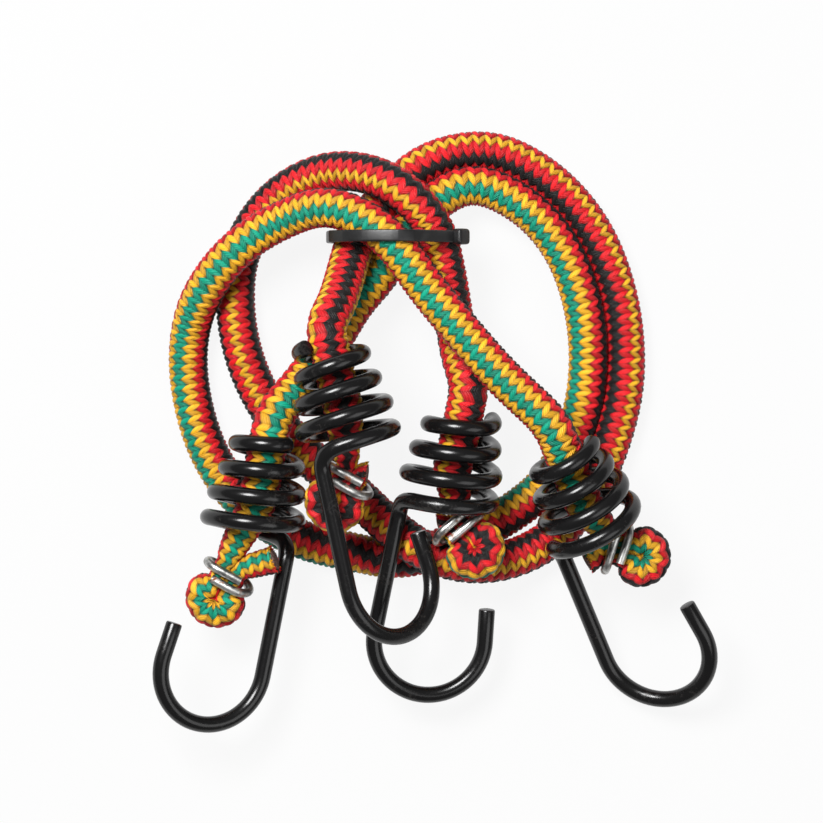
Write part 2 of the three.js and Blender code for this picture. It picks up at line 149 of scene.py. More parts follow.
class Canvas:
    """One material and the nodes in it."""

    def __init__(self, name: str) -> None:
        """Make an empty material with an output node."""
        self.material = bpy.data.materials.new(name)
        self.material.use_nodes = True
        self.tree = self.material.node_tree
        self.tree.nodes.clear()
        self.output = self.tree.nodes.new("ShaderNodeOutputMaterial")

    def node(self, kind: str, settings: dict, inputs: dict, result: object = 0) -> Shade:
        """Add a node.

        Args:
            kind: the node's type.
            settings: properties set before its sockets; "stops" holds a ramp's colours.
            inputs: socket name or number to a value or a Shade.
            result: name or number of the output that is returned.

        Returns:
            The chosen output.
        """
        made = self.tree.nodes.new(kind)
        for key, value in settings.items():
            if key == "stops":
                elements = made.color_ramp.elements
                while len(elements) < len(value):
                    elements.new(1.0)
                for element, (place, colour) in zip(elements, value):
                    element.position = place
                    element.color = (*colour, 1.0)
            elif key == "ramp_interpolation":
                made.color_ramp.interpolation = value
            else:
                setattr(made, key, value)
        for key, value in inputs.items():
            if isinstance(value, Shade):
                self.tree.links.new(value.socket, made.inputs[key])
            else:
                made.inputs[key].default_value = value
        return Shade(self, made.outputs[result])

    def tint(self, factor: object, low: object, high: object, blend: str = "MIX") -> Shade:
        """Mix two colours.

        Args:
            factor: share of the second colour, a number or a Shade.
            low: first colour, a tuple or a Shade.
            high: second colour, a tuple or a Shade.
            blend: the Mix node's blend type.

        Returns:
            The mixed colour.
        """
        low, high = (c if isinstance(c, Shade) else (*c, 1.0) for c in (low, high))
        return self.node(
            "ShaderNodeMix", {"data_type": "RGBA", "blend_type": blend}, {0: factor, 6: low, 7: high}, 2
        )

    def noise(self, scale: float, detail: float = 3.0, vector: Shade | None = None) -> Shade:
        """Noise on Object coordinates, or on a given vector.

        Args:
            scale: the noise's scale.
            detail: its octaves.
            vector: coordinates used in place of the object's own.

        Returns:
            A value about 0.5.
        """
        if vector is None:
            vector = self.node("ShaderNodeTexCoord", {}, {}, "Object")
        return self.node("ShaderNodeTexNoise", {}, {"Vector": vector, "Scale": scale, "Detail": detail})

    def bump(self, height: Shade, distance: float, strength: float = 0.5) -> Shade:
        """Normal from a height, with the distance in metres."""
        return self.node("ShaderNodeBump", {}, {"Height": height, "Distance": distance, "Strength": strength})

    def principled(self, inputs: dict) -> bpy.types.Material:
        """Finish the material with a Principled shader.

        Args:
            inputs: socket name to value or Shade.

        Returns:
            The material.
        """
        shader = self.node("ShaderNodeBsdfPrincipled", {}, inputs)
        self.tree.links.new(shader.socket, self.output.inputs["Surface"])
        return self.material


@dataclass(frozen=True)
class BraidFinish:
    """Polyester yarns: stripes by column, a fresh lay at each leg of the zigzag, painted shade in the grooves
    between and on every other leg.
    """

    legs: float = 2.0
    roughness: float = 0.5
    dust_roughness: float = 0.16
    body_polish: float = 0.08
    filaments: int = 5
    filament_depth: float = 0.00013
    strand_height: float = 0.4
    dust_height: float = 0.8
    bump_strength: float = 0.8
    dust_scale: float = 1100.0
    dust_detail: float = 4.0
    dust_sway: float = 4.0
    groove: float = 0.3
    tuck: float = 0.34
    # share of painted shade on every other leg of the zigzag, standing in for yarns turned from the light
    painted_leg_shade: float = 0.36
    # painted shade: how much the colour darkens in the zigzag's hollows, along stripe edges and at the tucked
    # ends of legs
    hollow_shade: float = 0.75
    edge_shade: float = 0.28
    tuck_shade: float = 0.2
    ground: float = 0.76
    tone_share: float = 0.28
    dust_share: float = 0.34
    strand_share: float = 0.11
    specular: float = 0.3
    sheen: float = 0.03

    def material(self, stripes: list[Yarn]) -> bpy.types.Material:
        """Make the material for a braid with these stripes.

        Args:
            stripes: the yarns in order round the cord.

        Returns:
            The braid's material, which reads the cord's own UV map.
        """
        canvas = Canvas("braided_yarn")
        place = canvas.node("ShaderNodeUVMap", {"uv_map": "weave"}, {})
        across = canvas.node("ShaderNodeSeparateXYZ", {}, {"Vector": place}, "X")
        along = canvas.node("ShaderNodeSeparateXYZ", {}, {"Vector": place}, "Y")
        stops = [(i / len(stripes), yarn.value) for i, yarn in enumerate(stripes)]
        yarn = canvas.node(
            "ShaderNodeValToRGB", {"ramp_interpolation": "CONSTANT", "stops": stops}, {"Fac": across}
        )
        stripe, leg = across * float(len(stripes)), along * self.legs
        inside, length = stripe % 1.0, leg % 1.0
        edge = inside.ramp(0.0, self.groove) * (1.0 - inside).ramp(0.0, self.groove)
        tuck = length.ramp(0.0, self.tuck) * (1.0 - length).ramp(0.0, self.tuck)
        bar = canvas.node("ShaderNodeCombineXYZ", {}, {"X": stripe.floor(), "Y": leg.floor()})
        tone = canvas.node("ShaderNodeTexWhiteNoise", {"noise_dimensions": "2D"}, {"Vector": bar})
        dust = canvas.noise(self.dust_scale, self.dust_detail)
        strands = (stripe * (2.0 * math.pi * self.filaments) + dust * self.dust_sway).sine()
        # painted shade in the grooves: darkest where stripe edges meet tucked leg ends, lighter along stripe
        # edges and at leg ends; body also shapes the bump and the roughness
        hollow = (1.0 - edge) * (1.0 - tuck)
        nylon_wear_and_braid_painted_shade = (1.0 - self.edge_shade) + self.edge_shade * edge
        painted_tuck_shade = (1.0 - self.tuck_shade) + self.tuck_shade * tuck
        body = (1.0 - hollow * self.hollow_shade) * nylon_wear_and_braid_painted_shade * painted_tuck_shade
        mottle = tone * self.tone_share + dust * self.dust_share + strands * self.strand_share
        light = (mottle + self.ground) * body
        # every other leg is darkened by painted shade, as if its yarns faced away from the light
        light = light * (1.0 - (leg.floor() % self.legs) * self.painted_leg_shade)
        grey = canvas.node("ShaderNodeCombineXYZ", {}, {"X": light, "Y": light, "Z": light})
        height = strands * self.strand_height + dust * self.dust_height + body
        return canvas.principled({
            "Base Color": canvas.tint(1.0, yarn, grey, "MULTIPLY"),
            "Roughness": self.roughness + dust * self.dust_roughness - body * self.body_polish,
            "Specular IOR Level": self.specular,
            "Sheen Weight": self.sheen,
            "Normal": canvas.bump(height, self.filament_depth, self.bump_strength),
        })


@dataclass(frozen=True)
class CoatFinish:
    """Black plastic dip on wire: glossy, with soft orange peel and a few scuffs."""

    colour: tuple[float, float, float] = (0.0045, 0.0043, 0.0045)
    scuffed: tuple[float, float, float] = (0.020, 0.018, 0.017)
    peel_scale: float = 160.0
    peel_detail: float = 2.0
    peel_share: float = 0.6
    peel_depth: float = 0.00006
    grain_scale: float = 1400.0
    grain_height: float = 0.15
    scuff_range: tuple[float, float] = (0.56, 0.72)
    roughness: float = 0.17
    scuff_roughness: float = 0.2
    grain_roughness: float = 0.1
    specular: float = 0.4

    def material(self) -> bpy.types.Material:
        """Make the coat's material."""
        canvas = Canvas("black_wire_coat")
        peel = canvas.noise(self.peel_scale, self.peel_detail)
        grain = canvas.noise(self.grain_scale)
        scuff = (peel * self.peel_share + grain * (1.0 - self.peel_share)).ramp(*self.scuff_range)
        return canvas.principled({
            "Base Color": canvas.tint(scuff, self.colour, self.scuffed),
            "Roughness": self.roughness + scuff * self.scuff_roughness + grain * self.grain_roughness,
            "Specular IOR Level": self.specular,
            "Normal": canvas.bump(peel + grain * self.grain_height, self.peel_depth),
        })


@dataclass(frozen=True)
class ZincFinish:
    """Galvanised wire with dull spangles and specks of rust."""

    bright: tuple[float, float, float] = (0.62, 0.62, 0.60)
    dull: tuple[float, float, float] = (0.30, 0.30, 0.29)
    rust: tuple[float, float, float] = (0.20, 0.060, 0.018)
    patch_scale: float = 700.0
    patch_detail: float = 4.0
    patch_range: tuple[float, float] = (0.35, 0.65)
    patch_depth: float = 0.00005
    speck_scale: float = 420.0
    speck_detail: float = 5.0
    speck_range: tuple[float, float] = (0.60, 0.70)
    rust_cover: float = 0.9
    roughness: float = 0.28
    patch_roughness: float = 0.2
    rust_roughness: float = 0.35

    def material(self) -> bpy.types.Material:
        """Make the wire's material."""
        canvas = Canvas("zinc_wire")
        patch = canvas.noise(self.patch_scale, self.patch_detail)
        speck = canvas.noise(self.speck_scale, self.speck_detail).ramp(*self.speck_range)
        metal = canvas.tint(patch.ramp(*self.patch_range), self.dull, self.bright)
        return canvas.principled({
            "Base Color": canvas.tint(speck, metal, self.rust),
            "Metallic": 1.0 - speck * self.rust_cover,
            "Roughness": self.roughness + patch * self.patch_roughness + speck * self.rust_roughness,
            "Normal": canvas.bump(patch, self.patch_depth),
        })


@dataclass(frozen=True)
class NylonFinish:
    """Moulded black nylon with a satin face."""

    colour: tuple[float, float, float] = (0.007, 0.007, 0.0075)
    rubbed: tuple[float, float, float] = (0.024, 0.024, 0.025)
    grain_scale: float = 2600.0
    grain_depth: float = 0.00003
    wear_scale: float = 260.0
    wear_range: tuple[float, float] = (0.5, 0.75)
    wear_share: float = 0.5
    roughness: float = 0.33
    grain_roughness: float = 0.14
    wear_roughness: float = 0.1

    def material(self) -> bpy.types.Material:
        """Make the tie's material."""
        canvas = Canvas("black_nylon")
        grain = canvas.noise(self.grain_scale)
        nylon_wear_and_braid_painted_shade = canvas.noise(self.wear_scale).ramp(*self.wear_range)
        return canvas.principled({
            "Base Color": canvas.tint(nylon_wear_and_braid_painted_shade * self.wear_share, self.colour, self.rubbed),
            "Roughness": self.roughness + grain * self.grain_roughness + nylon_wear_and_braid_painted_shade * self.wear_roughness,
            "Normal": canvas.bump(grain, self.grain_depth),
        })


@dataclass(frozen=True)
class RubberFinish:
    """Cut rubber strands, brown and dusty, with painted shade in the gaps between them."""

    strand: tuple[float, float, float] = (0.200, 0.105, 0.085)
    # painted shade in the gaps between the cut strands
    gap: tuple[float, float, float] = (0.045, 0.024, 0.020)
    strand_scale: float = 1500.0
    strand_range: tuple[float, float] = (0.02, 0.12)
    strand_depth: float = 0.00012
    bump_strength: float = 0.7
    dust_scale: float = 1800.0
    dust_tone: float = 0.6
    roughness: float = 0.7
    dust_roughness: float = 0.2

    def material(self) -> bpy.types.Material:
        """Make the rubber's material."""
        canvas = Canvas("rubber_strands")
        place = canvas.node("ShaderNodeTexCoord", {}, {}, "Object")
        cells = canvas.node(
            "ShaderNodeTexVoronoi", {"feature": "DISTANCE_TO_EDGE"},
            {"Vector": place, "Scale": self.strand_scale},
        )
        strand = cells.ramp(*self.strand_range)
        dust = canvas.noise(self.dust_scale)
        share = strand * (self.dust_tone + dust * self.dust_tone)
        return canvas.principled({
            "Base Color": canvas.tint(share, self.gap, self.strand),
            "Roughness": self.roughness + dust * self.dust_roughness,
            "Normal": canvas.bump(strand, self.strand_depth, self.bump_strength),
        })


class Path:
    """A smooth line through chosen points, measured along its length, in millimetres."""

    def __init__(self, points: Array, steps: int = 48) -> None:
        """Lay a centripetal Catmull-Rom line: cubic spans whose tangents weigh by root distances.

        Args:
            points: the chosen points, one row each.
            steps: samples to a span.
        """
        knots = np.vstack([2 * points[0] - points[1], points, 2 * points[-1] - points[-2]])
        before, here, there, after = (knots[i:len(knots) - 3 + i] for i in range(4))
        first, middle, last = (
            np.sqrt(np.linalg.norm(b - a, axis=1))[:, None]
            for a, b in ((before, here), (here, there), (there, after))
        )
        slope = (there - here) / middle
        leave = middle * ((here - before) / first - (there - before) / (first + middle) + slope)
        reach = middle * (slope - (after - here) / (middle + last) + (after - there) / last)
        share = (np.arange(steps) / steps)[None, :, None]
        square = 3 * (there - here) - 2 * leave - reach
        cube = 2 * (here - there) + leave + reach
        spans = here[:, None] + leave[:, None] * share + square[:, None] * share**2 + cube[:, None] * share**3
        self.points = np.vstack([spans.reshape(-1, 3), points[-1]])
        self.knot = np.arange(len(self.points)) / steps
        self.along = np.append(0.0, np.cumsum(np.linalg.norm(np.diff(self.points, axis=0), axis=1)))

    def ease(self, reach: float, end_reach: float, step: float = 0.2) -> None:
        """Round off sharp bends: each point becomes the mean of the line within a reach of it.

        The reach shrinks towards the two ends, past which the line is carried on straight, so the
        ends keep their places and directions.

        Args:
            reach: distance each way that is averaged.
            end_reach: that distance at the two ends.
            step: distance between the new points.
        """
        where = np.linspace(0.0, self.length, round(self.length / step) + 1)
        points, self.knot = self.at(where), np.interp(where, self.along, self.knot)
        more = round(end_reach / step)
        ahead = np.arange(1, more + 1)[:, None]
        before = points[0] + ahead[::-1] * (points[0] - points[1])
        after = points[-1] + ahead * (points[-1] - points[-2])
        total = np.vstack([np.zeros(3), np.cumsum(np.vstack([before, points, after]), axis=0)])
        number = np.arange(len(where))
        half = np.minimum(round(reach / step), np.minimum(number, number[::-1]) + more)
        middle = number + more
        self.points = (total[middle + half + 1] - total[middle - half]) / (2 * half + 1)[:, None]
        self.along = np.append(0.0, np.cumsum(np.linalg.norm(np.diff(self.points, axis=0), axis=1)))

    @property
    def length(self) -> float:
        """Whole length."""
        return float(self.along[-1])

    def at(self, where: Array) -> Array:
        """Points at distances along the line."""
        return np.stack([np.interp(where, self.along, self.points[:, k]) for k in range(3)], axis=1)

    def ways(self, where: Array, reach: float = 0.25) -> Array:
        """Unit directions at distances along the line, over a short reach each way."""
        ahead = self.at(np.minimum(where + reach, self.length))
        return unit(ahead - self.at(np.maximum(where - reach, 0.0)))

    def keyed(self, where: Array, keys: list[tuple[float, float]]) -> Array:
        """Values at distances, from keys of chosen-point number and value."""
        numbers, values = zip(*keys)
        return np.interp(np.interp(where, self.along, self.knot), numbers, values)


def unit(vectors: Array) -> Array:
    """Vectors scaled to length 1 along their last axis."""
    return vectors / np.linalg.norm(vectors, axis=-1, keepdims=True)


def round_angles(rings: int, sides: int) -> Array:
    """Angles spread evenly round a tube, the same at each ring, in radians."""
    return np.broadcast_to(2 * math.pi * np.arange(sides) / sides, (rings, sides))


def squared(wave: Array, power: float) -> Array:
    """A wave drawn towards a square one: its size raised to a small power, with its sign kept."""
    return np.sign(wave) * np.abs(wave) ** power


def tube_grid(centres: Array, ways: Array, reference: Array, radii: Array, angles: Array) -> Array:
    """Rings round a line: centre + radius * (cos * normal + sin * side).

    The normal is the reference with its part along the line taken away, and the side is the way
    crossed with the normal.

    Args:
        centres: ring centres.
        ways: directions along the line.
        reference: direction that angle 0 faces, one for all rings or one each.
        radii: radius at each ring and column.
        angles: angle at each ring and column, in radians.

    Returns:
        Points as rings by columns by 3.
    """
    reference = np.broadcast_to(reference, ways.shape)
    normal = unit(reference - (reference * ways).sum(axis=1, keepdims=True) * ways)
    side = np.cross(ways, normal)
    turned = np.cos(angles)[..., None] * normal[:, None] + np.sin(angles)[..., None] * side[:, None]
    return centres[:, None] + radii[..., None] * turned


def ring_faces(rings: int, columns: int) -> tuple[Array, Array]:
    """Faces of a tube closed round its columns and capped at both ends.

    Args:
        rings: rings along the tube.
        columns: points round a ring.

    Returns:
        Quads between rings, then triangles that fan from a centre after each end ring. The two
        centres are the last two points.
    """
    ring = np.arange(rings - 1)[:, None] * columns
    column = np.arange(columns)[None, :]
    following = (column + 1) % columns
    quads = np.stack(
        [ring + column, ring + columns + column, ring + columns + following, ring + following], axis=-1
    ).reshape(-1, 4)
    tail = (rings - 1) * columns
    start, stop = rings * columns, rings * columns + 1
    first = np.stack([np.full(columns, start), column[0], following[0]], axis=-1)
    last = np.stack([np.full(columns, stop), tail + following[0], tail + column[0]], axis=-1)
    return quads, np.vstack([first, last])


def add_mesh(
    name: str, points: Array, quads: Array, triangles: Array, crease: float, uv: Array | None = None
) -> bpy.types.Object:
    """Make an object from faces, with smooth shading up to a crease angle.

    Args:
        name: the piece's name.
        points: points in millimetres, before the shift to the frame.
        quads: four-sided faces.
        triangles: three-sided faces.
        crease: angle in degrees past which an edge is sharp.
        uv: one UV row per face corner, quads first.

    Returns:
        The object, at the origin.
    """
    mesh = bpy.data.meshes.new(name)
    corners = np.concatenate([quads.ravel(), triangles.ravel()]).astype(np.int32)
    sizes = np.repeat([4, 3], [len(quads), len(triangles)])
    mesh.vertices.add(len(points))
    mesh.vertices.foreach_set("co", ((points + FRAME_SHIFT) * MM).astype(np.float32).ravel())
    mesh.loops.add(len(corners))
    mesh.loops.foreach_set("vertex_index", corners)
    mesh.polygons.add(len(sizes))
    mesh.polygons.foreach_set("loop_start", (np.cumsum(sizes) - sizes).astype(np.int32))
    mesh.update(calc_edges=True)
    if uv is not None:
        mesh.uv_layers.new(name="weave").data.foreach_set("uv", uv.astype(np.float32).ravel())
    mesh.shade_smooth()
    mesh.set_sharp_from_angle(angle=math.radians(crease))
    piece = bpy.data.objects.new(name, mesh)
    bpy.context.scene.collection.objects.link(piece)
    LOG.info("%s: %d faces", name, len(sizes))
    return piece


def dress(
    piece: bpy.types.Object, look: bpy.types.Material,
    replaced: tuple[str, ...] = (), body: str = "",
) -> None:
    """Give a piece its finish and its place in the frame.

    Args:
        piece: the piece.
        look: its material.
        replaced: the solids that it stands for.
        body: the body that carries it, or nothing for a piece left unattached.
    """
    piece.data.materials.append(look)
    if body:
        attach(piece, body)
    if replaced:
        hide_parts(*replaced)


def capped(grid: Array) -> Array:
    """A tube's points as rows, with the middle of its first and last rings added."""
    return np.vstack([grid.reshape(-1, 3), grid[0].mean(axis=0), grid[-1].mean(axis=0)])


@dataclass(frozen=True)
class Braid:
    """The elastic cord's sheath: lengthwise stripes of yarn that zigzag together."""

    radius: float = 4.0
    period: float = 2.2
    rings: int = 10
    columns: int = 5
    swing: float = 0.2
    relief: float = 0.36
    pillow_power: float = 0.6
    waist: float = 0.3
    lean: float = 0.3
    sink: float = 0.95
    end_gap: float = 0.2
    cap_place: float = 0.55
    crease: float = 75.0
    stripes: tuple[tuple[Yarn, float], ...] = (
        (Yarn.GREEN, 38.0), (Yarn.YELLOW, 36.0), (Yarn.RED, 36.0), (Yarn.BLACK, 36.0), (Yarn.RED, 38.0),
        (Yarn.YELLOW, 28.0), (Yarn.RED, 38.0), (Yarn.BLACK, 36.0), (Yarn.RED, 36.0), (Yarn.YELLOW, 38.0),
    )

    @property
    def yarns(self) -> list[Yarn]:
        """The stripes' yarns in order."""
        return [yarn for yarn, _ in self.stripes]

    def column_angles(self) -> Array:
        """Angle of each mesh column, in radians, with the first stripe's middle at 0."""
        widths = np.radians([width for _, width in self.stripes])
        edges = np.append(0.0, np.cumsum(widths)) - widths[0] / 2
        numbers = np.arange(len(widths) * self.columns) / self.columns
        return np.interp(numbers, np.arange(len(edges)), edges)

    def share_at(self, angle: Array) -> Array:
        """Stripe share in the middle of the stripe at each angle round the cord, in radians."""
        widths = np.radians([width for _, width in self.stripes])
        edges = np.cumsum(widths) - widths[0] / 2
        number = np.searchsorted(edges, np.mod(angle + widths[0] / 2, 2 * math.pi) - widths[0] / 2)
        return (np.minimum(number, len(widths) - 1) + 0.5) / len(widths)

    def build(
        self, name: str, path: Path, span: tuple[float, float], roll: Along, radius: Along,
        phase: float = 0.0, hand: float = 1.0, floor: float | None = None,
    ) -> bpy.types.Object:
        """Braid one length of cord.

        Columns swing with a triangle wave along the cord, and each bar of the zigzag is a pillow that
        leans one way on its rising leg and the other way on its falling leg.

        Args:
            name: the piece's name.
            path: the cord's line.
            span: first and last distance along it.
            roll: function from distances to the first stripe's angle in degrees.
            radius: function from distances to the cord's radius.
            phase: distance along the cord where the line starts.
            hand: 1, or -1 for a line that runs against its cord.
            floor: height that the cord is pressed flat on.

        Returns:
            The braided piece.
        """
        step = self.period / self.rings
        first, last = ((distance + phase) / step for distance in span)
        inner = np.arange(math.ceil(first + self.end_gap), math.floor(last - self.end_gap) + 1)
        where = np.concatenate([[span[0]], inner * step - phase, [span[1]]])
        turn = (where + phase) / self.period
        wave = 4 * np.abs(turn - np.floor(turn + 0.5)) - 1
        leg = np.sin(2 * math.pi * turn)
        across = np.arange(len(self.stripes) * self.columns) / self.columns % 1.0
        size = radius(where)
        swung = self.column_angles()[None] + self.swing * wave[:, None]
        angles = np.radians(roll(where))[:, None] + hand * swung
        plump = self.waist + (1 - self.waist) * np.sqrt(np.abs(leg))
        pillow = np.sin(math.pi * across)[None] ** self.pillow_power * plump[:, None]
        lean = self.lean * leg[:, None] * np.cos(math.pi * across)[None]
        rise = self.relief * (size / self.radius)[:, None] * (pillow + lean - self.sink)
        grid = tube_grid(path.at(where), path.ways(where), UP, size[:, None] + rise, angles)
        if floor is not None:
            grid[..., 2] = np.maximum(grid[..., 2], floor)
        if hand < 0:
            grid = grid[:, ::-1]
        quads, ends = ring_faces(*grid.shape[:2])
        piece = add_mesh(name, capped(grid), quads, ends, self.crease, self.weave(turn, hand, len(ends)))
        LOG.info("%s: %.1f mm of braid", name, span[1] - span[0])
        return piece

    def weave(self, turn: Array, hand: float, caps: int) -> Array:
        """UV rows: stripe share across, zigzags along.

        Args:
            turn: zigzags at each ring.
            hand: -1 where the columns run backwards.
            caps: triangles in the two end caps.

        Returns:
            One row for each corner of the quads and the caps.
        """
        columns = len(self.stripes) * self.columns
        left = np.arange(columns)
        right = left + 1
        if hand < 0:
            left = np.append(left[:0:-1], columns)
            right = left - 1
        rows = np.empty((len(turn) - 1, columns, 4, 2))
        rows[..., (0, 1), 0] = left[None, :, None] / columns
        rows[..., (2, 3), 0] = right[None, :, None] / columns
        rows[..., (0, 3), 1] = turn[:-1, None, None]
        rows[..., (1, 2), 1] = turn[1:, None, None]
        return np.vstack([rows.reshape(-1, 2), np.full((caps * 3, 2), self.cap_place)])


@dataclass(frozen=True)
class Fray:
    """Loose yarn ends round a cut: short tapered fibres that lean out and curl."""

    count: int = 170
    thickness: float = 0.14
    reach: tuple[float, float] = (0.45, 0.85)
    lean: tuple[float, float] = (-35.0, 15.0)
    sway: float = 0.3
    root: float = 0.35
    seat: tuple[float, float] = (0.7, 0.97)
    curl: float = 0.3
    sides: int = 3
    shares: tuple[float, ...] = (0.0, 0.4, 0.75, 1.0)
    taper: tuple[float, ...] = (1.0, 0.9, 0.7, 0.25)
    lay: tuple[float, float] = (0.2, 0.3)
    crease: float = 60.0
    seed: int = 7

    def build(self, name: str, path: Path, radius: float, roll: float, braid: Braid) -> bpy.types.Object:
        """Grow the fibres: each is a three-sided tube along base + reach * way, curling outwards.

        Args:
            name: the piece's name.
            path: the cord's line, whose last point is the cut.
            radius: the cord's radius there.
            roll: the first stripe's angle there, in degrees.
            braid: the braid that the yarns come from.

        Returns:
            The fibres as one piece.
        """
        draw = np.random.default_rng(self.seed)
        angle = 2 * math.pi * (np.arange(self.count) + draw.uniform(0.0, 1.0, self.count)) / self.count
        way = path.ways(np.array([path.length]))[0]
        normal = unit(UP - (UP @ way) * way)
        out = np.cos(angle)[:, None] * normal + np.sin(angle)[:, None] * np.cross(way, normal)
        lean = np.radians(draw.uniform(*self.lean, self.count))[:, None]
        sway = draw.normal(0.0, self.sway, self.count)[:, None]
        along = unit(np.cos(lean) * way + np.sin(lean) * out + sway * np.cross(way, out))
        seat = radius * draw.uniform(*self.seat, self.count)[:, None]
        base = path.points[-1] - self.root * way + seat * out
        reach = draw.uniform(*self.reach, self.count)[:, None, None]
        share = np.array(self.shares)[None, :, None]
        line = base[:, None] + reach * (share * along[:, None] + self.curl * share**2 * out[:, None])
        flat = unit(np.cross(along, out))
        turn = round_angles(1, self.sides)[0]
        ring = np.cos(turn)[:, None] * flat[:, None] + np.sin(turn)[:, None] * np.cross(along, flat)[:, None]
        thick = self.thickness * np.array(self.taper)
        points = line[:, :, None] + thick[None, :, None, None] * ring[:, None]
        quads, caps = ring_faces(len(self.shares), self.sides)
        rows = np.concatenate([points.reshape(self.count, -1, 3), line[:, (0, -1)]], axis=1)
        starts = np.arange(self.count)[:, None, None] * rows.shape[1]
        stripe = braid.share_at(angle - math.radians(roll))
        lay = draw.uniform(*self.lay, self.count) + np.arange(self.count)
        tint = np.stack([stripe, lay], axis=1)
        corners = [np.repeat(tint, faces.size, axis=0) for faces in (quads, caps)]
        return add_mesh(
            name, rows.reshape(-1, 3), (starts + quads).reshape(-1, 4), (starts + caps).reshape(-1, 3),
            self.crease, np.vstack(corners),
        )


@dataclass(frozen=True)
class WireHook:
    """Coated wire wound as a conical spring and bent into a hook, about its own axis."""

    wire: float = 1.65
    sides: int = 20
    turns: float = 3.89
    pitch: float = 5.2
    grip: float = 6.0
    mouth: float = 8.85
    flare_turns: float = 3.4
    steps_per_turn: int = 44
    first_strand: float = 0.75
    shoulder: float = 5.0
    shank: float = 23.0
    bowl: float = 11.2
    sweep: float = 188.0
    tip: float = 6.7
    shoulder_pull: float = 0.8
    shoulder_hold: float = 0.7
    shoulder_steps: int = 15
    bowl_steps: int = 40
    edge: float = 0.35
    edge_lead: tuple[float, ...] = (0.0, 0.25, 1.0)
    edge_shrink: tuple[float, ...] = (0.72, 0.93, 1.0)
    crease: float = 50.0

    @property
    def coil_length(self) -> float:
        """Length of the coil along its axis."""
        return self.turns * self.pitch

    def centreline(self, begin: float) -> tuple[Array, Array]:
        """Centreline and the outward direction along it.

        The coil is a helix whose radius eases from grip to mouth; a cubic shoulder turns it into the
        straight shank, and the bowl is an arc.

        Args:
            begin: how many turns into the coil the wire begins.

        Returns:
            Points, and the direction that faces away from the axis or the bowl's middle.
        """
        steps = round((self.turns - begin) * self.steps_per_turn)
        turn = np.linspace(begin, self.turns, steps + 1)
        ease = (1 - np.cos(math.pi * np.minimum(turn / self.flare_turns, 1.0))) / 2
        radius = self.grip + (self.mouth - self.grip) * ease
        angle = 2 * math.pi * (turn - math.ceil(self.turns))
        coil = np.stack([radius * np.cos(angle), radius * np.sin(angle), self.pitch * turn], axis=1)
        leaving = unit(coil[-1] - coil[-2])
        top = np.array([self.mouth, 0.0, self.coil_length + self.shoulder])
        hold = top - [0.0, 0.0, self.shoulder_hold * self.shoulder]
        t = np.linspace(0.0, 1.0, self.shoulder_steps)[1:, None]
        pulled = coil[-1] + self.shoulder_pull * self.shoulder * leaving
        bend = (1 - t)**3 * coil[-1] + 3 * (1 - t)**2 * t * pulled + 3 * (1 - t) * t**2 * hold + t**3 * top
        arc = np.radians(np.linspace(0.0, self.sweep, self.bowl_steps))
        middle = np.array([self.mouth - self.bowl, 0.0, top[2] + self.shank])
        facing = np.stack([np.cos(arc), np.zeros_like(arc), np.sin(arc)], axis=1)
        hook = middle + self.bowl * facing
        last = np.array([-math.sin(arc[-1]), 0.0, math.cos(arc[-1])])
        end = hook[-1] + self.tip * last
        line = np.vstack([coil, bend, hook, end])
        round_axis = np.vstack([coil, bend]) * [1.0, 1.0, 0.0]
        return line, np.vstack([unit(round_axis), facing, facing[-1:]])

    def build(self, name: str, place: Array, begin: float) -> bpy.types.Object:
        """Sweep the wire along its line, with its two cut ends slightly rounded.

        Args:
            name: the piece's name.
            place: 4 by 4 matrix from the hook's axes to the bundle's.
            begin: how many turns into the coil the wire begins.

        Returns:
            The hook.
        """
        line, outward = self.centreline(begin)
        ways = unit(np.gradient(line, axis=0))
        shrink, lead = np.array(self.edge_shrink), self.edge * np.array(self.edge_lead)
        rows = np.r_[0, 0, np.arange(len(line)), -1, -1]
        front = line[0] + lead[:, None] * ways[0]
        back = line[-1] - lead[::-1, None] * ways[-1]
        line = np.vstack([front, line[1:-1], back])
        ways, outward = ways[rows], outward[rows]
        radii = self.wire * np.concatenate([shrink, np.ones(len(line) - 2 * len(shrink)), shrink[::-1]])
        angles = round_angles(len(line), self.sides)
        grid = tube_grid(line, ways, outward, np.repeat(radii[:, None], self.sides, axis=1), angles)
        points = capped(grid) @ place[:3, :3].T + place[:3, 3]
        return add_mesh(name, points, *ring_faces(*grid.shape[:2]), self.crease)


